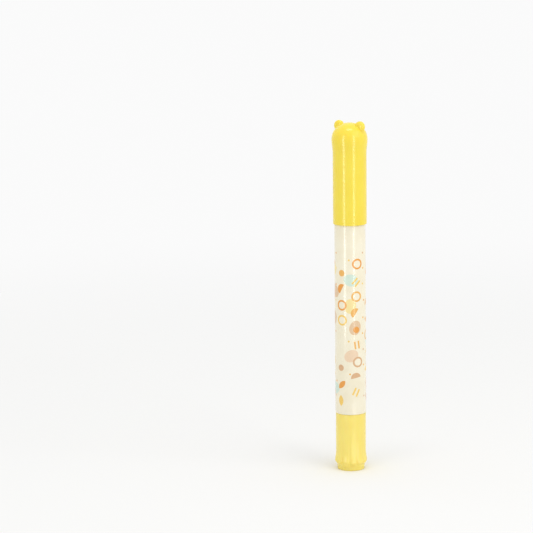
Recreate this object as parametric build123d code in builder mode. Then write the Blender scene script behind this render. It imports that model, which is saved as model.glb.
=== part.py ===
"""Twist-up wax crayon standing on its knob, in millimetres, +Z up, origin at the middle of the foot."""

import os
from math import cos, radians

from build123d import *

os.makedirs("parts", exist_ok=True)

# Clearances and seams
slide_clearance = 0.1
turning_clearance = 0.08
cap_clearance = 0.08
wax_clearance = 0.15
film_gap = 0.01
seam_gap = 0.05
knob_gap = 0.1
stop_gap = 0.5

# Wax stick and the cup that holds it
wax_radius = 4.3
wax_tip_height = 4.6
wax_tip_recess = 1.1
cup_wall = 0.45
cup_depth = 8.0
cup_floor = 2.2

# Twist feed
screw_lead = 6.0
screw_width = 4.0
screw_thickness = 2.2
wax_extend = 17.5
wax_retract = 21.0

# Pusher
stem_wall = 0.75
nut_height = 4.0
guide_disc_height = 2.5
pusher_plate_height = 1.2
stud_radius = 1.5
stud_height = 1.6
fin_count = 4
fin_thickness = 0.9

# Barrel and its film
barrel_length = 76.6
barrel_wall = 0.9
key_count = 2
key_width = 1.2
key_height = 0.35
film_thickness = 0.08
film_margin = 0.3

# Neck that the cap closes on, and the nozzle
neck_length = 3.3
neck_wall = 0.5
nozzle_length = 17.8
nozzle_mouth_radius = 5.6
nozzle_skirt_length = 9.0
nozzle_skirt_wall = 0.55
nozzle_lip_length = 1.6
nozzle_lip_round = 0.5
nozzle_seam_chamfer = 0.15

# Twist knob, measured up from the ground
knob_height = 23.3
knob_radius = 6.05
knob_wall = 0.95
knob_top_round = 0.25
flare_radius = 6.5
flare_crest_height = 3.5
flare_start_height = 11.0
lobe_count = 12
lobe_ridge_clear = 0.03
lobe_valley_clear = 0.02
foot_radius = 5.55
foot_height = 1.7
knob_web_height = 2.0
hub_radius = 3.0
hub_length = 5.5

# Plug that closes the foot
plug_flange_height = 1.2
plug_flange_inset = 0.1
plug_bottom_round = 0.25
plug_spigot_radius = 4.4
plug_spigot_length = 3.0
plug_wall = 0.8

# Tail bush that carries the knob and the spindle
bush_press_length = 7.5
bush_spigot_length = 11.5
bush_web = 2.0
stem_room = 0.4

# Spindle below its thread
collar_height = 1.2
collar_radius = 3.1
journal_radius = 1.95
drive_square = 2.6
drive_length = 5.2

# Drag ring
ring_section = 0.8
ring_height = 17.6
ring_groove_room = 0.2

# Cap
cap_length = 40.2
cap_wall = 0.72
head_swell = 0.42
swell_start = 28.4
dome_height = 6.8
inner_dome_height = 6.4
crown_wall = 1.4
cap_rim_round = 0.2
ear_radius = 2.2
ear_thickness = 2.6
ear_offset = 5.0
ear_rise = 1.45
ear_edge_round = 1.2

# Radii that follow from the wax outwards
cup_radius = wax_radius + cup_wall
key_radius = cup_radius + slide_clearance
barrel_bore = key_radius + key_height
barrel_radius = barrel_bore + barrel_wall
nozzle_bore = cup_radius + slide_clearance
nozzle_lip_bore = wax_radius + wax_clearance
nozzle_skirt_radius = nozzle_bore + nozzle_skirt_wall
neck_radius = nozzle_skirt_radius + neck_wall
cap_bore = neck_radius + cap_clearance
cap_radius = cap_bore + cap_wall
head_radius = cap_radius + head_swell
stem_bore = screw_width / 2 + 2 * slide_clearance
stem_radius = stem_bore + stem_wall
bush_bore = stem_radius + stem_room
knob_bore = knob_radius - knob_wall
lobe_ridge_radius = flare_radius + lobe_ridge_clear
lobe_valley_radius = knob_radius + lobe_valley_clear
bush_spigot_radius = knob_bore - turning_clearance
ring_radius = knob_bore - seam_gap - ring_section / 2
ring_groove_radius = ring_radius - ring_section / 2 - film_gap

# Heights that follow from the ground upwards
barrel_bottom = knob_height + knob_gap
neck_bottom = barrel_bottom + barrel_length
nozzle_bottom = neck_bottom + neck_length
skirt_bottom = nozzle_bottom - nozzle_skirt_length
mouth = nozzle_bottom + nozzle_length
lip_bottom = mouth - nozzle_lip_length
bush_bottom = barrel_bottom - bush_spigot_length
bush_top = barrel_bottom + bush_press_length
web_top = bush_bottom + bush_web
collar_bottom = web_top + seam_gap
collar_top = collar_bottom + collar_height
hub_top = bush_bottom - knob_gap
hub_web_bottom = hub_top - knob_web_height
cap_rim = neck_bottom + seam_gap
cap_top = cap_rim + cap_length
dome_base = cap_top - dome_height

# Feed positions at rest, with the wax tip just inside the nozzle's mouth
wax_tip = mouth - wax_tip_recess
cup_rim = lip_bottom - stop_gap - wax_extend
wax_bottom = cup_rim - cup_depth
cup_bottom = wax_bottom - cup_floor
plate_bottom = cup_bottom - pusher_plate_height
nut_bottom = collar_top + stop_gap + wax_retract
nut_top = nut_bottom + nut_height
guide_top = skirt_bottom - stop_gap - wax_extend
guide_bottom = guide_top - guide_disc_height
screw_top = nut_top + wax_extend + stop_gap

# Handle length, as a share of the half axis, of a curve that follows a quarter of an ellipse
quarter_ellipse_handle = 0.5523


def dome_points(radius, base, height):
    """Control points of a quarter ellipse from the dome's side up to its top on the axis."""
    return (
        (radius, base),
        (radius, base + quarter_ellipse_handle * height),
        (quarter_ellipse_handle * radius, base + height),
        (0, base + height),
    )


# Printed film
with BuildPart() as printed_sleeve:
    with BuildSketch(Plane.XY.offset(barrel_bottom + film_margin)):
        Circle(barrel_radius + film_gap + film_thickness)
        Circle(barrel_radius + film_gap, mode=Mode.SUBTRACT)
    extrude(amount=barrel_length - 2 * film_margin)

# Barrel: a tube with two inner keys, stepped in at the neck and counterbored for the nozzle's skirt
with BuildPart() as barrel:
    with BuildSketch(Plane.XY.offset(barrel_bottom)):
        Circle(barrel_radius)
    extrude(amount=barrel_length)
    with BuildSketch(Plane.XY.offset(neck_bottom)):
        Circle(neck_radius)
    extrude(amount=neck_length)
    with BuildSketch(Plane.XY.offset(barrel_bottom)):
        Circle(barrel_bore)
    extrude(amount=barrel_length + neck_length, mode=Mode.SUBTRACT)
    with BuildSketch(Plane.XY.offset(bush_top)):
        key_depth = key_height + barrel_wall / 2
        with PolarLocations(key_radius + key_depth / 2, key_count):
            Rectangle(key_depth, key_width)
    extrude(amount=skirt_bottom - bush_top)
    with BuildSketch(Plane.XY.offset(skirt_bottom)):
        Circle(nozzle_skirt_radius)
    extrude(amount=nozzle_skirt_length, mode=Mode.SUBTRACT)

# Nozzle: skirt inside the barrel, tapered mouthpiece above the seam, lip that guides the wax
with BuildPart() as nozzle:
    with BuildSketch(Plane.XZ):
        with BuildLine():
            Polyline(
                (nozzle_bore, skirt_bottom),
                (nozzle_skirt_radius, skirt_bottom),
                (nozzle_skirt_radius, nozzle_bottom),
                (neck_radius - nozzle_seam_chamfer, nozzle_bottom),
                (neck_radius, nozzle_bottom + nozzle_seam_chamfer),
                (nozzle_mouth_radius, mouth),
                (nozzle_lip_bore, mouth),
                (nozzle_lip_bore, lip_bottom),
                (nozzle_bore, lip_bottom),
                close=True,
            )
        make_face()
    revolve(axis=Axis.Z)
    mouth_edges = nozzle.edges().filter_by(GeomType.CIRCLE).group_by(Axis.Z)[-1]
    fillet(mouth_edges.sort_by(SortBy.RADIUS)[-1], radius=nozzle_lip_round)

# Wax stick with its bullet tip
with BuildPart() as wax_stick:
    with BuildSketch(Plane.XZ):
        with BuildLine():
            base = Line((0, wax_bottom), (wax_radius, wax_bottom))
            side = Line(base @ 1, (wax_radius, wax_tip - wax_tip_height))
            tip = Bezier(*dome_points(wax_radius, wax_tip - wax_tip_height, wax_tip_height))
            Line(tip @ 1, base @ 0)
        make_face()
    revolve(axis=Axis.Z)

# Cup round the lower end of the wax, with a socket for the pusher's stud
with BuildPart() as wax_cup:
    with BuildSketch(Plane.XY.offset(cup_bottom)):
        Circle(cup_radius)
    extrude(amount=cup_floor + cup_depth)
    with BuildSketch(Plane.XY.offset(wax_bottom)):
        Circle(wax_radius)
    extrude(amount=cup_depth, mode=Mode.SUBTRACT)
    with BuildSketch(Plane.XY.offset(cup_bottom)):
        Circle(stud_radius)
    extrude(amount=stud_height, mode=Mode.SUBTRACT)

# Spindle: twisted flat bar above its collar, round journal and square drive below
with BuildPart() as lead_screw:
    with BuildSketch(Plane.XY.offset(collar_bottom)):
        Circle(collar_radius)
    extrude(amount=collar_height)
    with BuildSketch(Plane.XY.offset(bush_bottom)):
        Circle(journal_radius)
    extrude(amount=bush_web + seam_gap)
    with BuildSketch(Plane.XY.offset(bush_bottom)):
        Rectangle(drive_square, drive_square)
    extrude(amount=-knob_gap - drive_length)
    with BuildLine() as screw_axis:
        Line((0, 0, collar_top), (0, 0, screw_top))
    with BuildLine() as screw_guide:
        Helix(screw_lead, screw_top - collar_top, screw_width, (0, 0, collar_top), lefthand=True)
    with BuildSketch(Plane.XY.offset(collar_top)):
        SlotOverall(screw_width, screw_thickness)
    sweep(path=screw_axis.wires()[0], binormal=screw_guide.wires()[0])

# Pusher: nut at the foot of a hollow stem, notched guide disc, fins and a stud under the cup
nut_turn = -360 * (nut_bottom - collar_top) / screw_lead
with BuildPart() as pusher:
    with BuildSketch(Plane.XY.offset(nut_bottom)):
        Circle(stem_radius)
    extrude(amount=plate_bottom - nut_bottom)
    with BuildSketch(Plane.XY.offset(guide_bottom)):
        Circle(barrel_bore - slide_clearance)
        with PolarLocations(barrel_bore, key_count):
            notch_depth = key_height + slide_clearance
            Rectangle(2 * notch_depth, key_width + 2 * slide_clearance, mode=Mode.SUBTRACT)
    extrude(amount=guide_disc_height)
    with BuildSketch(Plane.XY.offset(guide_top)):
        with PolarLocations(cup_radius / 2, fin_count):
            Rectangle(cup_radius - slide_clearance, fin_thickness)
    extrude(amount=plate_bottom - guide_top)
    with BuildSketch(Plane.XY.offset(plate_bottom)):
        Circle(cup_radius)
    extrude(amount=pusher_plate_height)
    with BuildSketch(Plane.XY.offset(cup_bottom)):
        Circle(stud_radius)
    extrude(amount=stud_height)
    with BuildSketch(Plane.XY.offset(nut_top)):
        Circle(stem_bore)
    extrude(amount=plate_bottom - nut_top, mode=Mode.SUBTRACT)
    with BuildLine() as nut_axis:
        Line((0, 0, nut_bottom), (0, 0, nut_top))
    with BuildLine() as nut_guide:
        Helix(screw_lead, nut_height, screw_width, (0, 0, nut_bottom), lefthand=True)
    with BuildSketch(Plane.XY.offset(nut_bottom)):
        SlotOverall(
            screw_width + 2 * slide_clearance,
            screw_thickness + 2 * slide_clearance,
            rotation=nut_turn,
        )
    sweep(path=nut_axis.wires()[0], binormal=nut_guide.wires()[0], mode=Mode.SUBTRACT)

# Tail bush: pressed into the barrel, spigot for the knob, web that carries the spindle's collar
with BuildPart() as tail_bush:
    with BuildSketch(Plane.XY.offset(barrel_bottom)):
        Circle(barrel_bore)
    extrude(amount=bush_press_length)
    with BuildSketch(Plane.XY.offset(bush_bottom)):
        Circle(bush_spigot_radius)
    extrude(amount=bush_spigot_length)
    with BuildSketch(Plane.XY.offset(web_top)):
        Circle(bush_bore)
    extrude(amount=bush_top - web_top, mode=Mode.SUBTRACT)
    with BuildSketch(Plane.XY.offset(bush_bottom)):
        Circle(journal_radius + turning_clearance)
    extrude(amount=bush_web, mode=Mode.SUBTRACT)
    with BuildSketch(Plane.XY.offset(ring_height - (ring_section + ring_groove_room) / 2)):
        Circle(bush_spigot_radius)
        Circle(ring_groove_radius, mode=Mode.SUBTRACT)
    extrude(amount=ring_section + ring_groove_room, mode=Mode.SUBTRACT)

# Drag ring in the bush's groove
with BuildPart() as drag_ring:
    with BuildSketch(Plane.XZ):
        with Locations((ring_radius, ring_height)):
            Circle(ring_section / 2)
    revolve(axis=Axis.Z)

# Lobes: arcs that bulge from one valley to the next, each a circle through its ridge and both its valleys
half_lobe = 180 / lobe_count
valley_reach = lobe_valley_radius * cos(radians(half_lobe))
lobe_centre_radius = (lobe_ridge_radius**2 - lobe_valley_radius**2) / 2 / (lobe_ridge_radius - valley_reach)
lobe_radius = lobe_ridge_radius - lobe_centre_radius

# Twist knob: smooth grip, flare parted into lobes, foot, hub with the square drive
with BuildPart() as twist_knob:
    with BuildSketch(Plane.XZ):
        with BuildLine():
            underside = Line((0, plug_flange_height), (foot_radius, plug_flange_height))
            foot = Line(underside @ 1, (foot_radius, foot_height))
            flank = Spline(foot @ 1, (flare_radius, flare_crest_height), tangents=((0, 1), (0, 1)))
            flare = Spline(flank @ 1, (knob_radius, flare_start_height), tangents=((0, 1), (0, 1)))
            grip = Line(flare @ 1, (knob_radius, knob_height))
            top = Line(grip @ 1, (0, knob_height))
            Line(top @ 1, underside @ 0)
        make_face()
    revolve(axis=Axis.Z)
    with BuildSketch(Plane.XY.offset(plug_flange_height)):
        Circle(knob_radius)
        with PolarLocations(lobe_centre_radius, lobe_count, start_angle=half_lobe):
            Circle(lobe_radius)
    extrude(amount=knob_height - plug_flange_height, mode=Mode.INTERSECT)
    with BuildSketch(Plane.XY.offset(hub_top)):
        Circle(knob_bore)
    extrude(amount=knob_height - hub_top, mode=Mode.SUBTRACT)
    with BuildSketch(Plane.XY.offset(plug_flange_height)):
        Circle(plug_spigot_radius)
    extrude(amount=hub_web_bottom - plug_flange_height, mode=Mode.SUBTRACT)
    with BuildSketch(Plane.XY.offset(hub_top - hub_length)):
        Circle(hub_radius)
    extrude(amount=hub_length - knob_web_height)
    with BuildSketch(Plane.XY.offset(hub_top - hub_length)):
        Rectangle(drive_square, drive_square)
    extrude(amount=hub_length, mode=Mode.SUBTRACT)
    top_edges = twist_knob.edges().filter_by(GeomType.CIRCLE).group_by(Axis.Z)[-1]
    fillet(top_edges.sort_by(SortBy.RADIUS)[-1], radius=knob_top_round)

# End plug: flange under the foot and a hollow spigot pressed into the knob
with BuildPart() as end_plug:
    with BuildSketch(Plane.XY):
        Circle(foot_radius - plug_flange_inset)
    extrude(amount=plug_flange_height)
    fillet(end_plug.edges().group_by(Axis.Z)[0], radius=plug_bottom_round)
    with BuildSketch(Plane.XY.offset(plug_flange_height)):
        Circle(plug_spigot_radius)
        Circle(plug_spigot_radius - plug_wall, mode=Mode.SUBTRACT)
    extrude(amount=plug_spigot_length)

# Ear: a thick round disc with well rounded edges
with BuildPart() as ear:
    with BuildSketch(Plane.XZ):
        Circle(ear_radius)
    extrude(amount=ear_thickness / 2, both=True)
    fillet(ear.edges().filter_by(GeomType.CIRCLE), radius=ear_edge_round)

# Cap: straight neck, swollen head, domed crown with two ears, hollow from the rim
with BuildPart() as cap:
    with BuildSketch(Plane.XZ):
        with BuildLine():
            rim = Line((0, cap_rim), (cap_radius, cap_rim))
            neck = Line(rim @ 1, (cap_radius, cap_rim + swell_start))
            swell = Spline(neck @ 1, (head_radius, dome_base), tangents=((0, 1), (0, 1)))
            dome = Bezier(*dome_points(head_radius, dome_base, dome_height))
            Line(dome @ 1, rim @ 0)
        make_face()
    revolve(axis=Axis.Z)
    with Locations((-ear_offset, 0, cap_top - ear_rise), (ear_offset, 0, cap_top - ear_rise)):
        add(ear.part)
    with BuildSketch(Plane.XZ):
        with BuildLine():
            mouth_line = Line((0, cap_rim), (cap_bore, cap_rim))
            inner_dome_base = cap_top - crown_wall - inner_dome_height
            bore = Line(mouth_line @ 1, (cap_bore, inner_dome_base))
            crown = Bezier(*dome_points(cap_bore, inner_dome_base, inner_dome_height))
            Line(crown @ 1, mouth_line @ 0)
        make_face()
    revolve(axis=Axis.Z, mode=Mode.SUBTRACT)
    rim_edges = cap.edges().filter_by(GeomType.CIRCLE).group_by(Axis.Z)[0]
    fillet(rim_edges.sort_by(SortBy.RADIUS)[-1], radius=cap_rim_round)

pieces = {
    "cap": cap,
    "nozzle": nozzle,
    "barrel": barrel,
    "printed_sleeve": printed_sleeve,
    "wax_stick": wax_stick,
    "wax_cup": wax_cup,
    "pusher": pusher,
    "lead_screw": lead_screw,
    "tail_bush": tail_bush,
    "drag_ring": drag_ring,
    "twist_knob": twist_knob,
    "end_plug": end_plug,
}
for name, piece in pieces.items():
    piece.part.label = name
    export_step(piece.part, f"parts/{name}.step")
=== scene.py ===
import math
import bmesh
import bpy
from mathutils import Euler, Matrix, Vector


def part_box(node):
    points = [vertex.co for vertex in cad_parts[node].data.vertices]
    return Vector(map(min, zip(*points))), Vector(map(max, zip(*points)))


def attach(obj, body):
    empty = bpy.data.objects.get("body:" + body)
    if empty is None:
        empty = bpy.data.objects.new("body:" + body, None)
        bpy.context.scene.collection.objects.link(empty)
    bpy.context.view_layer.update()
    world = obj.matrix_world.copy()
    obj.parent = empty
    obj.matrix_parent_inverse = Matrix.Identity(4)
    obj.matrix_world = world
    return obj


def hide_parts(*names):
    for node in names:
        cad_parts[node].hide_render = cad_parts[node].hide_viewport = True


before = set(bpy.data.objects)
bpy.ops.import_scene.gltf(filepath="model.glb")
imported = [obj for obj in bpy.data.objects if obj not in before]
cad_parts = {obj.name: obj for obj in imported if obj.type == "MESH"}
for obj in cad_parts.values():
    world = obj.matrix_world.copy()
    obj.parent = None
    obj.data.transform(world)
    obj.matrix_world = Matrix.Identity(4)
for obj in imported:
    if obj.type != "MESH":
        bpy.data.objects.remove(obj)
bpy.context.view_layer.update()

MM = 0.001
FULL_TURN = 2 * math.pi
SHARP_ANGLE = math.radians(38)
MERGE_DISTANCE = 1e-7
SPIN_STEPS = 128
ROUND_STEPS = 6
DOME_STEPS = 24

# Marks on the faces of shapes that are joined
MAIN_MARK = 0
EAR_MARK = 1

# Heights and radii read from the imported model
_, foot_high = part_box("end_plug")
knob_low, knob_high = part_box("twist_knob")
film_low, film_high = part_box("printed_sleeve")
_, barrel_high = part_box("barrel")
nozzle_low, nozzle_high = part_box("nozzle")
wax_low, wax_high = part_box("wax_stick")
cap_low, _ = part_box("cap")

# Twist knob
KNOB_RADIUS = 6.05 * MM
KNOB_BORE = 5.1 * MM
KNOB_WEB = 2.0 * MM
HUB_TOP = 11.8 * MM
HUB_RADIUS = 3.0 * MM
HUB_LENGTH = 5.5 * MM
DRIVE_SQUARE = 2.6 * MM
KNOB_TOP_ROUND = 0.15 * MM
FOOT_RADIUS = 5.55 * MM
FOOT_HEIGHT = 1.7 * MM
FOOT_EDGE_ROUND = 0.12 * MM
FLANK_STEPS = 20
FLARE_RADIUS = 6.5 * MM
FLARE_CREST = 3.5 * MM
FLARE_ROUND = 0.6 * MM
FLARE_EASE = 5.3 * MM
FLARE_START = 7.8 * MM
FLARE_STEPS = 40
VALLEY_RADIUS = 6.18 * MM
VALLEY_FOOT = 3.6 * MM
FLUTE_TOP = 18.5 * MM
FLUTE_DEPTH = 0.16 * MM
FLUTE_STEPS = 12
BORE_MARGIN = 0.01 * MM
LOBES = 12
STEPS_PER_LOBE = 16

# End plug
PLUG_RADIUS = foot_high.x
PLUG_SPIGOT_RADIUS = 4.4 * MM
PLUG_WALL = 0.8 * MM
PLUG_FLANGE_TOP = knob_low.z
PLUG_EDGE_ROUND = 0.25 * MM
PLUG_SEAM_ROUND = 0.12 * MM
PLUG_DIMPLE_RADIUS = 1.0 * MM
PLUG_DIMPLE_DEPTH = 0.18 * MM
PLUG_DIMPLE_STEPS = 8

# Film
FILM_EDGE_STEPS = 3

# Cap
CAP_RADIUS = 6.7 * MM
CAP_BORE = 5.98 * MM
CAP_SPIN_STEPS = 144
HEAD_RADIUS = 7.12 * MM
CAP_TOP = cap_low.z + 40.2 * MM
CAP_NECK_STEPS = 12
SWELL_START = cap_low.z + 28.4 * MM
SWELL_STEPS = 18
CROWN_HEIGHT = 6.8 * MM
CROWN_FULLNESS = 2.15
CROWN_STEPS = 36
CROWN_WALL = 1.4 * MM
INNER_DOME_HEIGHT = 6.4 * MM
RIM_ROUND = 0.2 * MM
RIM_DIP = 0.05 * MM
CUT_CLEARANCE = 1.0 * MM
EAR_RADIUS = 2.2 * MM
EAR_THICKNESS = 2.6 * MM
EAR_OFFSET = 5.0 * MM
EAR_RISE = 1.45 * MM
EAR_FULLNESS = 2.5
EAR_STEPS = 40
EAR_SPIN_STEPS = 72
EAR_BLEND_REACH = 0.45 * MM
EAR_BLEND_PASSES = 6
EAR_BLEND_PULL = 0.5

# Nozzle and wax
SKIRT_RADIUS = 5.4 * MM
NOZZLE_BORE = 4.85 * MM
NOZZLE_BASE = barrel_high.z
NECK_RADIUS = 5.9 * MM
MOUTH_RADIUS = 5.6 * MM
LIP_BORE = 4.45 * MM
LIP_LENGTH = 1.6 * MM
LIP_ROUND = 0.5 * MM
SEAM_CHAMFER = 0.15 * MM
WAX_RADIUS = wax_high.x
WAX_STEPS = 20
WAX_TIP_HEIGHT = 4.6 * MM

# Photograph's camera, fitted to the crayon's outline; bearings are counted round the crayon's axis
CAMERA_BEARING = math.radians(35.5)
CAMERA_REACH = 0.8197
CAMERA_HEIGHT = 0.2299
CAMERA_AZIMUTH = CAMERA_BEARING + math.radians(2.327)
CAMERA_ELEVATION = math.radians(10.16)
CAMERA_ROLL = math.radians(-0.69)
CAMERA_LENS = 141.2
CAMERA_NEAREST = 0.05
CAMERA_FARTHEST = 50.0
SENSOR_WIDTH = 36.0


def srgb(red, green, blue):
    """Linear colour with alpha of a colour written in 0 to 255 display values."""
    channels = []
    for value in (red, green, blue):
        share = value / 255
        linear = share / 12.92 if share <= 0.04045 else ((share + 0.055) / 1.055) ** 2.4
        channels.append(linear)
    return (*channels, 1.0)


def around(bearing, reach, height):
    """A place at a bearing round the crayon's axis, counted from the front towards +X."""
    return Vector((reach * math.sin(bearing), -reach * math.cos(bearing), height))


def smoothed(share):
    """A share from 0 to 1 that leaves and arrives level."""
    return share * share * (3 - 2 * share)


# Outlines are lists of (radius, height) points that are spun round the crayon's axis.


def arc(centre, radius, start, end, steps=ROUND_STEPS):
    """Points on a circle from start to end, in degrees, counted from outwards towards up."""
    points = []
    for step in range(steps + 1):
        angle = math.radians(start + (end - start) * step / steps)
        across = centre[0] + radius * math.cos(angle)
        points.append((across, centre[1] + radius * math.sin(angle)))
    return points


def ease(start, end, steps):
    """Points on a curve that leaves start and reaches end upright."""
    points = []
    for step in range(steps + 1):
        share = step / steps
        across = start[0] + (end[0] - start[0]) * smoothed(share)
        points.append((across, start[1] + (end[1] - start[1]) * share))
    return points


def dome(radius, base, height, steps=DOME_STEPS, fullness=2.0):
    """Points on a quarter ellipse, or a fuller curve, from the dome's side to its top."""
    power = 2 / fullness
    points = []
    for step in range(steps + 1):
        angle = math.pi / 2 * step / steps
        across = radius * max(math.cos(angle), 0.0) ** power
        points.append((across, base + height * math.sin(angle) ** power))
    points[-1] = (0.0, base + height)
    return points


def upright(radius, low, high, steps):
    """Points straight up a wall."""
    return [(radius, low + (high - low) * step / steps) for step in range(steps + 1)]


def spun(outline, steps, closed, axis=(0, 0, 1)):
    """A bmesh of the outline spun a full turn, doubles merged and faces turned outwards."""
    bm = bmesh.new()
    across = Vector((1, 0, 0))
    along = Vector(axis)
    verts = [bm.verts.new(across * radius + along * height) for radius, height in outline]
    edges = [bm.edges.new(pair) for pair in zip(verts, verts[1:])]
    if closed:
        edges.append(bm.edges.new((verts[-1], verts[0])))
    bmesh.ops.spin(
        bm,
        geom=verts + edges,
        cent=(0, 0, 0),
        axis=along,
        angle=FULL_TURN,
        steps=steps,
        use_merge=True,
    )
    bmesh.ops.remove_doubles(bm, verts=bm.verts, dist=MERGE_DISTANCE)
    bmesh.ops.recalc_face_normals(bm, faces=bm.faces)
    return bm


def set_shading(bm):
    """Smooth faces, with creases kept sharp."""
    for face in bm.faces:
        face.smooth = True
    for edge in bm.edges:
        edge.smooth = len(edge.link_faces) == 2 and edge.calc_face_angle(0.0) < SHARP_ANGLE


def object_from(name, bm):
    """Makes the bmesh an object of the scene."""
    mesh = bpy.data.meshes.new(name)
    bm.to_mesh(mesh)
    bm.free()
    made = bpy.data.objects.new(name, mesh)
    bpy.context.scene.collection.objects.link(made)
    return made


def piece(name, bm, material, body, slot, *nodes):
    """Makes the bmesh an object that rides on a body and stands for its CAD nodes."""
    set_shading(bm)
    made = object_from(name, bm)
    made.data.materials.append(material)
    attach(made, body)
    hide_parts(*nodes)


# Node helpers for the materials


def new_material(name):
    """A node material; returns the material, its node tree and its shader."""
    material = bpy.data.materials.new(name)
    material.use_nodes = True
    tree = material.node_tree
    return material, tree, tree.nodes["Principled BSDF"]


def plug_in(tree, socket, value):
    """Links a socket, or sets a plain value."""
    if isinstance(value, bpy.types.NodeSocket):
        tree.links.new(value, socket)
    else:
        socket.default_value = value


def maths(tree, operation, first, second=0.0, third=0.0):
    """One Math node."""
    node = tree.nodes.new("ShaderNodeMath")
    node.operation = operation
    for socket, value in zip(node.inputs, (first, second, third)):
        plug_in(tree, socket, value)
    return node.outputs[0]


def object_place(tree):
    """The piece's own coordinates, in metres."""
    return tree.nodes.new("ShaderNodeTexCoord").outputs["Object"]


def noise(tree, place, scale, detail=3.0, roughness=0.55):
    """Noise from 0 to 1 at a scale in cycles a metre."""
    node = tree.nodes.new("ShaderNodeTexNoise")
    plug_in(tree, node.inputs["Vector"], place)
    node.inputs["Scale"].default_value = scale
    node.inputs["Detail"].default_value = detail
    node.inputs["Roughness"].default_value = roughness
    return node.outputs["Fac"]


def remap(tree, value, from_low, from_high, to_low, to_high, smooth=False):
    """A value carried from one range to another."""
    node = tree.nodes.new("ShaderNodeMapRange")
    node.interpolation_type = "SMOOTHSTEP" if smooth else "LINEAR"
    for socket, number in zip(node.inputs, (value, from_low, from_high, to_low, to_high)):
        plug_in(tree, socket, number)
    return node.outputs["Result"]


def mixed(tree, share, first, second):
    """A colour mixed from two by a share."""
    node = tree.nodes.new("ShaderNodeMix")
    node.data_type = "RGBA"
    plug_in(tree, node.inputs["Factor"], share)
    plug_in(tree, node.inputs["A"], first)
    plug_in(tree, node.inputs["B"], second)
    return node.outputs["Result"]


def drifting(tree, pattern, low, high, first, second):
    """A colour that goes from the first to the second as a noise rises from low to high."""
    return mixed(tree, remap(tree, pattern, low, high, 0.0, 1.0), first, second)


def vary_roughness(tree, shader, pattern, smoothest, roughest):
    """Roughness that follows a noise over the range where it mostly lies."""
    rough = remap(tree, pattern, NOISE_LOW, NOISE_HIGH, smoothest, roughest)
    plug_in(tree, shader.inputs["Roughness"], rough)


def bumped(tree, shader, height, distance):
    """Raises the surface by a height from 0 to 1, times a distance in metres."""
    node = tree.nodes.new("ShaderNodeBump")
    node.inputs["Strength"].default_value = 1.0
    node.inputs["Distance"].default_value = distance
    plug_in(tree, node.inputs["Height"], height)
    tree.links.new(node.outputs["Normal"], shader.inputs["Normal"])


def soak_light(shader, share, spread, reach, ior):
    """Lets a share of the light soak in and come out nearby."""
    shader.inputs["Subsurface Weight"].default_value = share
    shader.inputs["Subsurface Radius"].default_value = spread
    shader.inputs["Subsurface Scale"].default_value = reach
    shader.inputs["IOR"].default_value = ior


# Finishes: scales are in cycles a metre
NOISE_LOW = 0.3
NOISE_HIGH = 0.7

PLASTIC_DRIFT_SCALE = 90.0
PLASTIC_DRIFT_DETAIL = 2.0
PLASTIC_SKIN_SCALE = 1400.0
PLASTIC_SKIN_DETAIL = 4.0
PLASTIC_SKIN_DEPTH = 0.004 * MM
PLASTIC_SMOOTHER = 0.04
PLASTIC_ROUGHER = 0.05
PLASTIC_SOAK_SPREAD = (1.0, 0.7, 0.25)
PLASTIC_SOAK_REACH = 1.2 * MM
PLASTIC_IOR = 1.5

WAX_LIGHT = srgb(251, 222, 84)
WAX_DEEP = srgb(248, 211, 66)
WAX_MOTTLE_SCALE = 900.0
WAX_MOTTLE_DETAIL = 5.0
WAX_MOTTLE_ROUGHNESS = 0.6
WAX_MOTTLE_LOW = 0.35
WAX_MOTTLE_HIGH = 0.65
WAX_SMEAR_SCALE = 1100.0
WAX_SMOOTHEST = 0.38
WAX_ROUGHEST = 0.56
WAX_SOAK = 0.35
WAX_SOAK_SPREAD = (1.0, 0.75, 0.3)
WAX_SOAK_REACH = 1.5 * MM
WAX_IOR = 1.44
WAX_RING_SCALE = 260.0
WAX_RING_DISTORTION = 2.0
WAX_RING_DETAIL = 2.0
WAX_RING_SHARE = 0.4
WAX_GRAIN_DEPTH = 0.03 * MM

RUBBER_DARK = srgb(34, 34, 36)
RUBBER_DUSTY = srgb(58, 57, 56)
RUBBER_BLOOM_SCALE = 900.0
RUBBER_BLOOM_DETAIL = 4.0
RUBBER_BLOOM_LOW = 0.4
RUBBER_BLOOM_HIGH = 0.75
RUBBER_BLOOM_DEPTH = 0.01 * MM
RUBBER_SMOOTHEST = 0.55
RUBBER_ROUGHEST = 0.75


def moulded_plastic(name, light, deep, roughness, soak):
    """Moulded plastic: faint colour drift and a fine skin that varies its gloss."""
    material, tree, shader = new_material(name)
    place = object_place(tree)
    drift = noise(tree, place, PLASTIC_DRIFT_SCALE, PLASTIC_DRIFT_DETAIL)
    colour = drifting(tree, drift, NOISE_LOW, NOISE_HIGH, light, deep)
    plug_in(tree, shader.inputs["Base Color"], colour)
    skin = noise(tree, place, PLASTIC_SKIN_SCALE, PLASTIC_SKIN_DETAIL)
    vary_roughness(tree, shader, skin, roughness - PLASTIC_SMOOTHER, roughness + PLASTIC_ROUGHER)
    soak_light(shader, soak, PLASTIC_SOAK_SPREAD, PLASTIC_SOAK_REACH, PLASTIC_IOR)
    bumped(tree, shader, skin, PLASTIC_SKIN_DEPTH)
    return material


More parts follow.
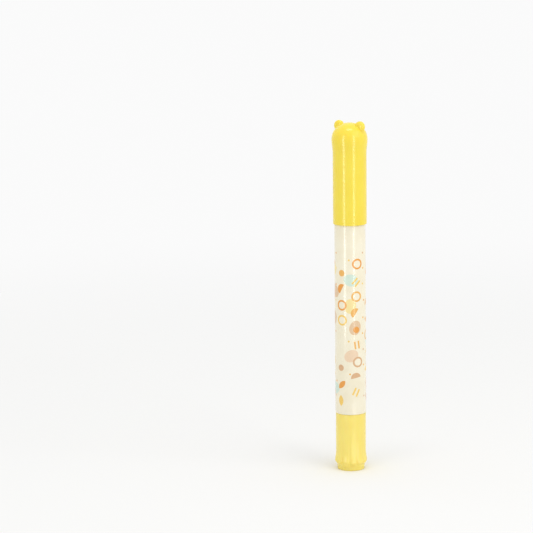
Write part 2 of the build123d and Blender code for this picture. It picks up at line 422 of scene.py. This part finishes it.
def wax_finish():
    """Soft crayon wax: mottled, slightly see-through, with faint casting rings."""
    material, tree, shader = new_material("crayon_wax")
    place = object_place(tree)
    mottle = noise(tree, place, WAX_MOTTLE_SCALE, WAX_MOTTLE_DETAIL, WAX_MOTTLE_ROUGHNESS)
    colour = drifting(tree, mottle, WAX_MOTTLE_LOW, WAX_MOTTLE_HIGH, WAX_LIGHT, WAX_DEEP)
    plug_in(tree, shader.inputs["Base Color"], colour)
    smear = noise(tree, place, WAX_SMEAR_SCALE)
    vary_roughness(tree, shader, smear, WAX_SMOOTHEST, WAX_ROUGHEST)
    soak_light(shader, WAX_SOAK, WAX_SOAK_SPREAD, WAX_SOAK_REACH, WAX_IOR)
    rings = tree.nodes.new("ShaderNodeTexWave")
    rings.wave_type = "BANDS"
    rings.bands_direction = "Z"
    plug_in(tree, rings.inputs["Vector"], place)
    rings.inputs["Scale"].default_value = WAX_RING_SCALE
    rings.inputs["Distortion"].default_value = WAX_RING_DISTORTION
    rings.inputs["Detail"].default_value = WAX_RING_DETAIL
    grain = maths(tree, "MULTIPLY_ADD", rings.outputs["Fac"], WAX_RING_SHARE, mottle)
    bumped(tree, shader, grain, WAX_GRAIN_DEPTH)
    return material


def rubber_finish():
    """Dark rubber with a dusty bloom."""
    material, tree, shader = new_material("seal_rubber")
    place = object_place(tree)
    bloom = noise(tree, place, RUBBER_BLOOM_SCALE, RUBBER_BLOOM_DETAIL)
    colour = drifting(tree, bloom, RUBBER_BLOOM_LOW, RUBBER_BLOOM_HIGH, RUBBER_DARK, RUBBER_DUSTY)
    plug_in(tree, shader.inputs["Base Color"], colour)
    vary_roughness(tree, shader, bloom, RUBBER_SMOOTHEST, RUBBER_ROUGHEST)
    bumped(tree, shader, bloom, RUBBER_BLOOM_DEPTH)
    return material


# The film's print: pebbles, motifs and specks tossed on half-drop grids of cells, wrapped round
# the barrel. Names in _MM are in millimetres on the film.
FILM_ROUND_MM = FULL_TURN * film_high.x / MM
PRINT_LOW = film_low.z + 1.6 * MM
PRINT_HIGH = film_high.z - 10.0 * MM
PRINT_EDGE_MM = 0.06
SECOND_DRAW = 0.5
PEBBLE_RADIUS_MM = 3.0
PEBBLE_SQUASH = 1.25
DOT_RADIUS_MM = 1.3
RING_RADIUS_MM = 1.8
RING_HALF_WIDTH_MM = 0.36
LEAF_ARC_MM = 2.8
LEAF_SPREAD_MM = 1.7
HALF_MOON_RADIUS_MM = 2.1
BAR_HALF_LENGTH_MM = 1.6
BAR_SPREAD_MM = 0.8
BAR_HALF_WIDTH_MM = 0.36
SPECK_RADIUS_MM = 0.38
MOTIF_COLUMNS = 6
# Grids: columns of cells, how far a shape reaches and shifts in millimetres, share shown, seed
PEBBLE_GRID = dict(columns=4, reach=PEBBLE_RADIUS_MM, shift=2.2, share=0.75, seed=11.0)
MOTIF_GRID = dict(columns=MOTIF_COLUMNS, reach=2.2, shift=0.9, share=0.85, seed=13.0)
SPECK_GRID = dict(columns=MOTIF_COLUMNS, reach=SPECK_RADIUS_MM, shift=0.8, share=0.75, seed=5.0)
PEBBLE_COLOURS = (
    srgb(229, 198, 160),
    srgb(249, 228, 160),
    srgb(212, 231, 214),
    srgb(240, 212, 180),
)
MOTIF_COLOURS = (
    srgb(236, 160, 66),
    srgb(247, 206, 104),
    srgb(221, 178, 134),
    srgb(240, 182, 92),
)
FILM_CREAM = srgb(247, 240, 216)
FILM_CREAM_DEEP = srgb(244, 235, 208)
FILM_HAZE_SCALE = 160.0
FILM_HAZE_DETAIL = 2.0
FILM_HAZE_LOW = 0.35
FILM_HAZE_HIGH = 0.65
FILM_SKIN_SCALE = 1200.0
FILM_SKIN_DEPTH = 0.006 * MM
FILM_SMOOTHEST = 0.2
FILM_ROUGHEST = 0.28
FILM_COAT = 0.25
FILM_COAT_ROUGHNESS = 0.12
INK_ROUGHER = 0.06
INK_RISE = 0.6


def white_noise(tree, vector):
    """Three random numbers, the same all over one cell."""
    node = tree.nodes.new("ShaderNodeTexWhiteNoise")
    node.noise_dimensions = "3D"
    plug_in(tree, node.inputs["Vector"], vector)
    split = tree.nodes.new("ShaderNodeSeparateColor")
    tree.links.new(node.outputs["Color"], split.inputs["Color"])
    return split.outputs["Red"], split.outputs["Green"], split.outputs["Blue"]


def combine(tree, x, y, z=0.0):
    """A vector from three numbers."""
    node = tree.nodes.new("ShaderNodeCombineXYZ")
    for socket, value in zip(node.inputs, (x, y, z)):
        plug_in(tree, socket, value)
    return node.outputs["Vector"]


def distance_from(tree, x, y, centre_x=0.0, centre_y=0.0):
    """How far a point lies from a centre."""
    across = maths(tree, "SUBTRACT", x, centre_x)
    along = maths(tree, "SUBTRACT", y, centre_y)
    along_square = maths(tree, "MULTIPLY", along, along)
    return maths(tree, "SQRT", maths(tree, "MULTIPLY_ADD", across, across, along_square))


def tossed(tree, share_round, height, columns, reach, shift, share, seed):
    """A half-drop grid of cells, each shifted and turned at random, a share of them shown.

    Returns the place in millimetres from the cell's middle, 1 or 0 for shown, and two random
    numbers.
    """
    size = FILM_ROUND_MM / columns
    column_place = maths(tree, "MULTIPLY", share_round, columns)
    column = maths(tree, "FLOOR", column_place)
    drop = maths(tree, "MULTIPLY", maths(tree, "FLOORED_MODULO", column, 2.0), 0.5)
    row_place = maths(tree, "ADD", maths(tree, "DIVIDE", height, size * MM), drop)
    row = maths(tree, "FLOOR", row_place)
    shift_x, shift_y, turn = white_noise(tree, combine(tree, column, row, seed))
    choice, ink, chance = white_noise(tree, combine(tree, column, row, seed + SECOND_DRAW))

    half = size / 2
    x = maths(tree, "MULTIPLY_ADD", maths(tree, "FRACT", column_place), size, -half)
    y = maths(tree, "MULTIPLY_ADD", maths(tree, "FRACT", row_place), size, -half)
    x = maths(tree, "SUBTRACT", x, remap(tree, shift_x, 0.0, 1.0, -shift / 2, shift / 2))
    y = maths(tree, "SUBTRACT", y, remap(tree, shift_y, 0.0, 1.0, -shift / 2, shift / 2))
    rotate = tree.nodes.new("ShaderNodeVectorRotate")
    rotate.rotation_type = "Z_AXIS"
    plug_in(tree, rotate.inputs["Vector"], combine(tree, x, y))
    plug_in(tree, rotate.inputs["Angle"], maths(tree, "MULTIPLY", turn, FULL_TURN))
    turned = tree.nodes.new("ShaderNodeSeparateXYZ")
    plug_in(tree, turned.inputs["Vector"], rotate.outputs["Vector"])

    middle_row = maths(tree, "ADD", maths(tree, "SUBTRACT", row, drop), 0.5)
    middle = maths(tree, "MULTIPLY", middle_row, size * MM)
    room = (reach + shift / 2) * MM
    above = maths(tree, "GREATER_THAN", middle, PRINT_LOW + room)
    below = maths(tree, "LESS_THAN", middle, PRINT_HIGH - room)
    drawn = maths(tree, "LESS_THAN", chance, share)
    shown = maths(tree, "MULTIPLY", maths(tree, "MULTIPLY", above, below), drawn)
    return turned.outputs["X"], turned.outputs["Y"], shown, choice, ink


def motif_outline(tree, x, y, choice):
    """Distance outside one of five motifs, chosen by a number from 0 to 1."""
    middle = distance_from(tree, x, y)
    dot = maths(tree, "SUBTRACT", middle, DOT_RADIUS_MM)
    from_ring = maths(tree, "ABSOLUTE", maths(tree, "SUBTRACT", middle, RING_RADIUS_MM))
    ring = maths(tree, "SUBTRACT", from_ring, RING_HALF_WIDTH_MM)
    upper = maths(tree, "SUBTRACT", distance_from(tree, x, y, 0.0, LEAF_SPREAD_MM), LEAF_ARC_MM)
    lower = maths(tree, "SUBTRACT", distance_from(tree, x, y, 0.0, -LEAF_SPREAD_MM), LEAF_ARC_MM)
    leaf = maths(tree, "MAXIMUM", upper, lower)
    disc = maths(tree, "SUBTRACT", middle, HALF_MOON_RADIUS_MM)
    moon = maths(tree, "MAXIMUM", disc, maths(tree, "MULTIPLY", y, -1.0))
    across = maths(tree, "SUBTRACT", maths(tree, "ABSOLUTE", x), BAR_HALF_LENGTH_MM)
    from_bar = maths(tree, "SUBTRACT", maths(tree, "ABSOLUTE", y), BAR_SPREAD_MM)
    apart = maths(tree, "SUBTRACT", maths(tree, "ABSOLUTE", from_bar), BAR_HALF_WIDTH_MM)
    bars = maths(tree, "MAXIMUM", across, apart)
    chosen = dot
    others = (ring, leaf, moon, bars)
    for index, motif in enumerate(others, start=1):
        later = maths(tree, "GREATER_THAN", choice, index / (len(others) + 1))
        difference = maths(tree, "SUBTRACT", motif, chosen)
        chosen = maths(tree, "MULTIPLY_ADD", later, difference, chosen)
    return chosen


def print_colour(tree, choice, colours):
    """One of the print's inks, chosen by a number from 0 to 1."""
    ramp = tree.nodes.new("ShaderNodeValToRGB")
    ramp.color_ramp.interpolation = "CONSTANT"
    elements = ramp.color_ramp.elements
    elements[0].color = colours[0]
    elements[1].position = 1 / len(colours)
    elements[1].color = colours[1]
    for index, colour in enumerate(colours[2:], start=2):
        elements.new(index / len(colours)).color = colour
    plug_in(tree, ramp.inputs["Fac"], choice)
    return ramp.outputs["Color"]


def inked(tree, outline, shown):
    """1 inside an outline and 0 outside, with a soft printed edge, where the cell is shown."""
    inside = remap(tree, outline, -PRINT_EDGE_MM, PRINT_EDGE_MM, 1.0, 0.0, smooth=True)
    return maths(tree, "MULTIPLY", inside, shown)


def printed_film():
    """Glossy film with a tossed print of pebbles, dots, rings, leaves, half moons and bars."""
    material, tree, shader = new_material("printed_film")
    place = object_place(tree)
    split = tree.nodes.new("ShaderNodeSeparateXYZ")
    plug_in(tree, split.inputs["Vector"], place)
    height = split.outputs["Z"]
    angle = maths(tree, "ARCTAN2", split.outputs["Y"], split.outputs["X"])
    share_round = maths(tree, "DIVIDE", angle, FULL_TURN)

    x, y, shown, _, pebble_ink = tossed(tree, share_round, height, **PEBBLE_GRID)
    squashed = distance_from(tree, x, maths(tree, "MULTIPLY", y, PEBBLE_SQUASH))
    pebble = inked(tree, maths(tree, "SUBTRACT", squashed, PEBBLE_RADIUS_MM), shown)

    half_cell = 0.5 / MOTIF_COLUMNS
    quarter_cell = FILM_ROUND_MM / MOTIF_COLUMNS / 4 * MM
    half_cell_on = maths(tree, "FRACT", maths(tree, "ADD", share_round, half_cell))
    quarter_cell_up = maths(tree, "SUBTRACT", height, quarter_cell)
    x, y, shown, _, speck_ink = tossed(tree, half_cell_on, quarter_cell_up, **SPECK_GRID)
    from_speck = distance_from(tree, x, y)
    speck = inked(tree, maths(tree, "SUBTRACT", from_speck, SPECK_RADIUS_MM), shown)

    x, y, shown, choice, motif_ink = tossed(tree, share_round, height, **MOTIF_GRID)
    motif = inked(tree, motif_outline(tree, x, y, choice), shown)

    haze = noise(tree, place, FILM_HAZE_SCALE, FILM_HAZE_DETAIL)
    colour = drifting(tree, haze, FILM_HAZE_LOW, FILM_HAZE_HIGH, FILM_CREAM, FILM_CREAM_DEEP)
    layers = (
        (speck, speck_ink, MOTIF_COLOURS),
        (pebble, pebble_ink, PEBBLE_COLOURS),
        (motif, motif_ink, MOTIF_COLOURS),
    )
    inks = 0.0
    for layer, ink, colours in layers:
        colour = mixed(tree, layer, colour, print_colour(tree, ink, colours))
        inks = maths(tree, "MAXIMUM", layer, inks)
    plug_in(tree, shader.inputs["Base Color"], colour)

    skin = noise(tree, place, FILM_SKIN_SCALE)
    bare = remap(tree, skin, NOISE_LOW, NOISE_HIGH, FILM_SMOOTHEST, FILM_ROUGHEST)
    rough = maths(tree, "MULTIPLY_ADD", inks, INK_ROUGHER, bare)
    plug_in(tree, shader.inputs["Roughness"], rough)
    shader.inputs["Coat Weight"].default_value = FILM_COAT
    shader.inputs["Coat Roughness"].default_value = FILM_COAT_ROUGHNESS
    bumped(tree, shader, maths(tree, "MULTIPLY_ADD", inks, INK_RISE, skin), FILM_SKIN_DEPTH)
    return material


# Pieces


def scratch_object(name, bm, mark):
    """A plain object whose faces carry a mark, for joining."""
    made = object_from(name, bm)
    for _ in (MAIN_MARK, EAR_MARK):
        made.data.materials.append(None)
    for polygon in made.data.polygons:
        polygon.material_index = mark
    return made


def joined_bmesh(base, added, cut):
    """The bmesh of a closed shape with others added and one cut away; all are used up."""
    steps = [("UNION", other) for other in added] + [("DIFFERENCE", cut)]
    for operation, other in steps:
        join = base.modifiers.new("join", "BOOLEAN")
        join.operation = operation
        join.solver = "EXACT"
        join.object = other
    graph = bpy.context.evaluated_depsgraph_get()
    bm = bmesh.new()
    bm.from_mesh(base.evaluated_get(graph).to_mesh())
    bmesh.ops.remove_doubles(bm, verts=bm.verts, dist=MERGE_DISTANCE)
    bmesh.ops.dissolve_degenerate(bm, edges=bm.edges, dist=MERGE_DISTANCE)
    for made in (base, cut, *added):
        bpy.data.objects.remove(made)
    return bm


def flared():
    """Points up the flare: a short round over the crest, an even slope, an ease into the grip."""
    round_end = FLARE_CREST + FLARE_ROUND
    fall = FLARE_RADIUS - KNOB_RADIUS
    slope = 2 * fall / (FLARE_START - FLARE_CREST + FLARE_EASE - round_end)
    points = []
    for step in range(FLARE_STEPS + 1):
        height = FLARE_CREST + (FLARE_START - FLARE_CREST) * step / FLARE_STEPS
        rounded = min(height - FLARE_CREST, FLARE_ROUND)
        even = max(min(height, FLARE_EASE) - round_end, 0.0)
        eased = max(height - FLARE_EASE, 0.0)
        drop = rounded * rounded / FLARE_ROUND / 2 + even
        drop += eased - eased * eased / (FLARE_START - FLARE_EASE) / 2
        points.append((FLARE_RADIUS - slope * drop, height))
    return points


def fluted(radius, angle, height):
    """Radius of the grip where flutes part it into petals, deepest on the flare."""
    ridge = 1 - (1 - abs(math.sin(LOBES / 2 * angle))) ** 2
    rise = min((height - FOOT_HEIGHT) / (VALLEY_FOOT - FOOT_HEIGHT), 1.0)
    slope = FOOT_RADIUS + (VALLEY_RADIUS - FOOT_RADIUS) * smoothed(rise)
    fade = min((FLUTE_TOP - height) / (FLUTE_TOP - FLARE_CREST), 1.0)
    valley = min(radius, slope) - FLUTE_DEPTH * fade * rise
    return valley + (radius - valley) * ridge


def make_knob(material):
    """Smooth grip, petals on the flare, a rounded foot and a hub with a square hole inside."""
    hub_bottom = HUB_TOP - HUB_LENGTH
    web_bottom = HUB_TOP - KNOB_WEB
    foot_edge = (FOOT_RADIUS - FOOT_EDGE_ROUND, knob_low.z + FOOT_EDGE_ROUND)
    top_edge = (KNOB_RADIUS - KNOB_TOP_ROUND, knob_high.z - KNOB_TOP_ROUND)
    outline = [(0.0, hub_bottom), (HUB_RADIUS, hub_bottom), (HUB_RADIUS, web_bottom)]
    outline += [(PLUG_SPIGOT_RADIUS, web_bottom), (PLUG_SPIGOT_RADIUS, knob_low.z)]
    outline += arc(foot_edge, FOOT_EDGE_ROUND, -90, 0)
    outline += ease((FOOT_RADIUS, FOOT_HEIGHT), (FLARE_RADIUS, FLARE_CREST), FLANK_STEPS)
    outline += flared()[1:]
    outline += upright(KNOB_RADIUS, FLARE_START, FLUTE_TOP, FLUTE_STEPS)[1:]
    outline += arc(top_edge, KNOB_TOP_ROUND, 0, 90)
    outline += [(KNOB_BORE, knob_high.z), (KNOB_BORE, HUB_TOP), (0.0, HUB_TOP)]
    bm = spun(outline, LOBES * STEPS_PER_LOBE, closed=False)
    for vert in bm.verts:
        radius = math.hypot(vert.co.x, vert.co.y)
        if radius > KNOB_BORE + BORE_MARGIN and FOOT_HEIGHT < vert.co.z < FLUTE_TOP:
            scale = fluted(radius, math.atan2(vert.co.y, vert.co.x), vert.co.z) / radius
            vert.co.x *= scale
            vert.co.y *= scale
    body = scratch_object("knob_body", bm, MAIN_MARK)

    bm = bmesh.new()
    bmesh.ops.create_cube(bm, size=1.0)
    bmesh.ops.scale(bm, verts=bm.verts, vec=(DRIVE_SQUARE, DRIVE_SQUARE, 2 * HUB_LENGTH))
    bmesh.ops.translate(bm, verts=bm.verts, vec=(0, 0, HUB_TOP - HUB_LENGTH / 2))
    drive = scratch_object("knob_drive", bm, MAIN_MARK)
    bm = joined_bmesh(body, [], drive)
    piece("knob_grip", bm, material, "knob", "yellow_plastic", "twist_knob")


def make_end_plug(material):
    """Rounded flange under the foot with a moulding dimple, and a hollow spigot in the knob."""
    spigot_bore = PLUG_SPIGOT_RADIUS - PLUG_WALL
    seam_edge = (PLUG_RADIUS - PLUG_SEAM_ROUND, PLUG_FLANGE_TOP - PLUG_SEAM_ROUND)
    outline = dome(PLUG_DIMPLE_RADIUS, 0.0, PLUG_DIMPLE_DEPTH, PLUG_DIMPLE_STEPS)[::-1]
    outline += arc((PLUG_RADIUS - PLUG_EDGE_ROUND, PLUG_EDGE_ROUND), PLUG_EDGE_ROUND, -90, 0)
    outline += arc(seam_edge, PLUG_SEAM_ROUND, 0, 90)
    outline += [(PLUG_SPIGOT_RADIUS, PLUG_FLANGE_TOP), (PLUG_SPIGOT_RADIUS, foot_high.z)]
    outline += [(spigot_bore, foot_high.z), (spigot_bore, PLUG_FLANGE_TOP), (0.0, PLUG_FLANGE_TOP)]
    bm = spun(outline, SPIN_STEPS, closed=False)
    piece("foot_plug", bm, material, "knob", "yellow_plastic", "end_plug")


def make_film(material):
    """The printed film round the barrel, its cut edges just rounded."""
    inner = barrel_high.x
    edge_round = (film_high.x - inner) / 2
    edge_middle = film_high.x - edge_round
    low_edge = (edge_middle, film_low.z + edge_round)
    high_edge = (edge_middle, film_high.z - edge_round)
    outline = [(inner, film_low.z)]
    outline += arc(low_edge, edge_round, -90, 0, FILM_EDGE_STEPS)
    outline += arc(high_edge, edge_round, 0, 90, FILM_EDGE_STEPS)
    outline.append((inner, film_high.z))
    bm = spun(outline, SPIN_STEPS, closed=True)
    piece("barrel_film", bm, material, "barrel", "printed_film", "printed_sleeve")


def make_nozzle(material):
    """Tapered mouthpiece with a rounded mouth, a lip inside it and the skirt in the barrel."""
    lip_bottom = nozzle_high.z - LIP_LENGTH
    inner_round = LIP_ROUND / 2
    outline = [
        (NOZZLE_BORE, nozzle_low.z),
        (SKIRT_RADIUS, nozzle_low.z),
        (SKIRT_RADIUS, NOZZLE_BASE),
        (NECK_RADIUS - SEAM_CHAMFER, NOZZLE_BASE),
        (NECK_RADIUS, NOZZLE_BASE + SEAM_CHAMFER),
    ]
    outline += arc((MOUTH_RADIUS - LIP_ROUND, nozzle_high.z - LIP_ROUND), LIP_ROUND, 0, 90)
    outline += arc((LIP_BORE + inner_round, nozzle_high.z - inner_round), inner_round, 90, 180)
    outline += [(LIP_BORE, lip_bottom), (NOZZLE_BORE, lip_bottom)]
    bm = spun(outline, SPIN_STEPS, closed=True)
    piece("mouthpiece", bm, material, "barrel", "yellow_plastic", "nozzle")


def make_wax(material):
    """Round stick with a bullet tip."""
    shoulder = wax_high.z - WAX_TIP_HEIGHT
    outline = [(0.0, wax_low.z)]
    outline += upright(WAX_RADIUS, wax_low.z, shoulder, WAX_STEPS)
    outline += dome(WAX_RADIUS, shoulder, WAX_TIP_HEIGHT)[1:]
    bm = spun(outline, SPIN_STEPS, closed=False)
    piece("wax_crayon", bm, material, "carriage", "yellow_wax", "wax_stick")


def ear_disc(side):
    """A thick round disc with full rounded faces, standing on the crown."""
    power = 2 / EAR_FULLNESS
    half = EAR_THICKNESS / 2
    outline = []
    for step in range(EAR_STEPS + 1):
        angle = math.pi * step / EAR_STEPS - math.pi / 2
        radius = EAR_RADIUS * max(math.cos(angle), 0.0) ** power
        outline.append((radius, half * math.copysign(abs(math.sin(angle)) ** power, angle)))
    outline[0] = (0.0, -half)
    outline[-1] = (0.0, half)
    bm = spun(outline, EAR_SPIN_STEPS, closed=False, axis=(0, 1, 0))
    place = (side * EAR_OFFSET, 0, CAP_TOP - EAR_RISE)
    bmesh.ops.translate(bm, verts=bm.verts, vec=place)
    return bm


def soften_joints(bm):
    """Rounds the crease where two marked shapes meet."""
    crease_verts = set()
    for edge in bm.edges:
        if len({face.material_index for face in edge.link_faces}) > 1:
            crease_verts.update(edge.verts)
    points = [vert.co.copy() for vert in crease_verts]
    near = []
    for vert in bm.verts:
        if any((vert.co - point).length < EAR_BLEND_REACH for point in points):
            near.append(vert)
    for _ in range(EAR_BLEND_PASSES):
        bmesh.ops.smooth_vert(
            bm,
            verts=near,
            factor=EAR_BLEND_PULL,
            use_axis_x=True,
            use_axis_y=True,
            use_axis_z=True,
        )
    for face in bm.faces:
        face.material_index = MAIN_MARK


def make_cap(material):
    """Hollow cap with a swollen head, a domed crown and two ears."""
    crown_base = CAP_TOP - CROWN_HEIGHT
    outline = [(0.0, cap_low.z)]
    outline += arc((CAP_RADIUS - RIM_ROUND, cap_low.z + RIM_ROUND), RIM_ROUND, -90, 0)
    outline += upright(CAP_RADIUS, cap_low.z + RIM_ROUND, SWELL_START, CAP_NECK_STEPS)[1:]
    outline += ease((CAP_RADIUS, SWELL_START), (HEAD_RADIUS, crown_base), SWELL_STEPS)[1:]
    outline += dome(HEAD_RADIUS, crown_base, CROWN_HEIGHT, CROWN_STEPS, CROWN_FULLNESS)[1:]
    bm = spun(outline, CAP_SPIN_STEPS, closed=False)
    outside = scratch_object("cap_outside", bm, MAIN_MARK)

    inner_base = CAP_TOP - CROWN_WALL - INNER_DOME_HEIGHT
    rim_bore = CAP_BORE + RIM_ROUND
    hollow = [(0.0, cap_low.z - CUT_CLEARANCE), (rim_bore, cap_low.z - CUT_CLEARANCE)]
    hollow += arc((rim_bore, cap_low.z + RIM_ROUND - RIM_DIP), RIM_ROUND, 270, 180)
    hollow += dome(CAP_BORE, inner_base, INNER_DOME_HEIGHT)
    bm = spun(hollow, CAP_SPIN_STEPS, closed=False)
    inside = scratch_object("cap_inside", bm, MAIN_MARK)

    ears = [scratch_object("cap_ear", ear_disc(side), EAR_MARK) for side in (-1, 1)]
    bm = joined_bmesh(outside, ears, inside)
    soften_joints(bm)
    piece("eared_cap", bm, material, "cap", "yellow_plastic", "cap")


yellow_plastic = moulded_plastic(
    "yellow_plastic", srgb(252, 228, 76), srgb(250, 222, 66), roughness=0.22, soak=0.12
)
pale_yellow_plastic = moulded_plastic(
    "pale_yellow_plastic", srgb(250, 229, 119), srgb(248, 224, 111), roughness=0.22, soak=0.12
)
cream_plastic = moulded_plastic(
    "cream_plastic", srgb(250, 243, 218), srgb(246, 237, 208), roughness=0.26, soak=0.1
)
white_plastic = moulded_plastic(
    "white_plastic", srgb(240, 240, 236), srgb(230, 230, 224), roughness=0.4, soak=0.05
)

make_cap(yellow_plastic)
make_knob(pale_yellow_plastic)
make_end_plug(pale_yellow_plastic)
make_nozzle(yellow_plastic)
make_film(printed_film())
make_wax(wax_finish())

inner_finishes = {
    "barrel": cream_plastic,
    "wax_cup": white_plastic,
    "pusher": white_plastic,
    "lead_screw": white_plastic,
    "tail_bush": white_plastic,
    "drag_ring": rubber_finish(),
}
for node, finish in inner_finishes.items():
    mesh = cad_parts[node].data
    mesh.materials.clear()
    mesh.materials.append(finish)


# Studio: a pale floor that fades into a bright surround, and lamps, all in metres
FLOOR_RADIUS = 3.0
FLOOR_SIDES = 96
FLOOR_FADE_START = 0.1
FLOOR_FADE_END = 0.6
FLOOR_GREY = srgb(240, 240, 239)
FLOOR_PALE = srgb(243, 243, 242)
FLOOR_GRAIN_SCALE = 3.0
FLOOR_GRAIN_DETAIL = 2.0
FLOOR_ROUGHNESS = 0.8
SURROUND_WHITE = (1.0, 1.0, 1.0, 1.0)
SURROUND_STRENGTH = 0.86
SEEN_STRENGTH = 0.96
STRIP_REACH = 0.22
STRIP_LENGTH = 0.243
STRIP_MIDDLE = STRIP_LENGTH / 2
BACK_LENGTH = 0.1
BACK_MIDDLE = 0.075
# Lamps: name, bearing from the camera in degrees, reach, height, height on the crayon's axis that
# it aims at, width, length and power. The first set is seen only as a shine on the pieces.
SHINE_LAMPS = (
    ("left_strip", -39, STRIP_REACH, STRIP_MIDDLE, STRIP_MIDDLE, 0.026, STRIP_LENGTH, 0.171),
    ("right_strip", 28, STRIP_REACH, STRIP_MIDDLE, STRIP_MIDDLE, 0.021, STRIP_LENGTH, 0.142),
    ("back_strip", 180, STRIP_REACH, BACK_MIDDLE, BACK_MIDDLE, 0.022, BACK_LENGTH, 0.03),
    ("foot_glow", 26, 0.031, 0.003, 1.0, 0.022, 0.038, 0.0045),
)
SOFT_BOXES = (
    ("overhead_box", 0, 0.21, 1.12, CAP_TOP, 0.5, 0.18, 2.0),
    ("side_box", 55, 0.9, 0.75, STRIP_MIDDLE, 0.8, 0.8, 2.0),
)


def make_floor():
    """A pale floor that keeps the object's shadow and fades into the pale surround."""
    material, tree, shader = new_material("studio_floor")
    place = object_place(tree)
    grain = noise(tree, place, FLOOR_GRAIN_SCALE, FLOOR_GRAIN_DETAIL)
    plug_in(tree, shader.inputs["Base Color"], mixed(tree, grain, FLOOR_GREY, FLOOR_PALE))
    shader.inputs["Roughness"].default_value = FLOOR_ROUGHNESS
    shader.inputs["Specular IOR Level"].default_value = 0.0
    length = tree.nodes.new("ShaderNodeVectorMath")
    length.operation = "LENGTH"
    plug_in(tree, length.inputs[0], place)
    reach = length.outputs["Value"]
    fade = remap(tree, reach, FLOOR_FADE_START, FLOOR_FADE_END, 1.0, 0.0, smooth=True)
    plug_in(tree, shader.inputs["Alpha"], fade)
    bm = bmesh.new()
    bmesh.ops.create_circle(bm, cap_ends=True, segments=FLOOR_SIDES, radius=FLOOR_RADIUS)
    floor = object_from("studio_floor", bm)
    floor.data.materials.append(material)


def make_lamp(name, place, target, width, length, power, shine_only):
    """A rectangular lamp that faces a target, or one that is seen only as a shine."""
    light = bpy.data.lights.new(name, "AREA")
    light.shape = "RECTANGLE"
    light.size = width
    light.size_y = length
    light.energy = power
    lamp = bpy.data.objects.new(name, light)
    lamp.location = place
    lamp.rotation_euler = (target - place).to_track_quat("-Z", "Y").to_euler()
    lamp.visible_camera = False
    lamp.visible_diffuse = not shine_only
    bpy.context.scene.collection.objects.link(lamp)


def make_world():
    """An even pale surround, a little brighter where it is seen or mirrored."""
    world = bpy.data.worlds.new("studio")
    bpy.context.scene.world = world
    world.use_nodes = True
    tree = world.node_tree
    background = tree.nodes["Background"]
    background.inputs["Color"].default_value = SURROUND_WHITE
    path = tree.nodes.new("ShaderNodeLightPath").outputs
    seen = maths(tree, "MAXIMUM", path["Is Camera Ray"], path["Is Transmission Ray"])
    seen = maths(tree, "MAXIMUM", seen, path["Is Glossy Ray"])
    strength = remap(tree, seen, 0.0, 1.0, SURROUND_STRENGTH, SEEN_STRENGTH)
    plug_in(tree, background.inputs["Strength"], strength)


def make_camera():
    """The photograph's camera."""
    data = bpy.data.cameras.new("camera")
    data.lens = CAMERA_LENS
    data.sensor_width = SENSOR_WIDTH
    data.clip_start = CAMERA_NEAREST
    data.clip_end = CAMERA_FARTHEST
    camera = bpy.data.objects.new("camera", data)
    camera.location = around(CAMERA_BEARING, CAMERA_REACH, CAMERA_HEIGHT)
    level = math.pi / 2 - CAMERA_ELEVATION
    turned = Euler((level, 0.0, CAMERA_AZIMUTH)).to_matrix()
    camera.rotation_euler = (turned @ Matrix.Rotation(CAMERA_ROLL, 3, "Z")).to_euler()
    bpy.context.scene.collection.objects.link(camera)
    bpy.context.scene.camera = camera


make_floor()
make_world()
for lamps, shine_only in ((SHINE_LAMPS, True), (SOFT_BOXES, False)):
    for name, turn, reach, height, aim, width, length, power in lamps:
        place = around(CAMERA_BEARING + math.radians(turn), reach, height)
        make_lamp(name, place, Vector((0, 0, aim)), width, length, power, shine_only)
make_camera()

bpy.context.scene.view_settings.view_transform = "Standard"
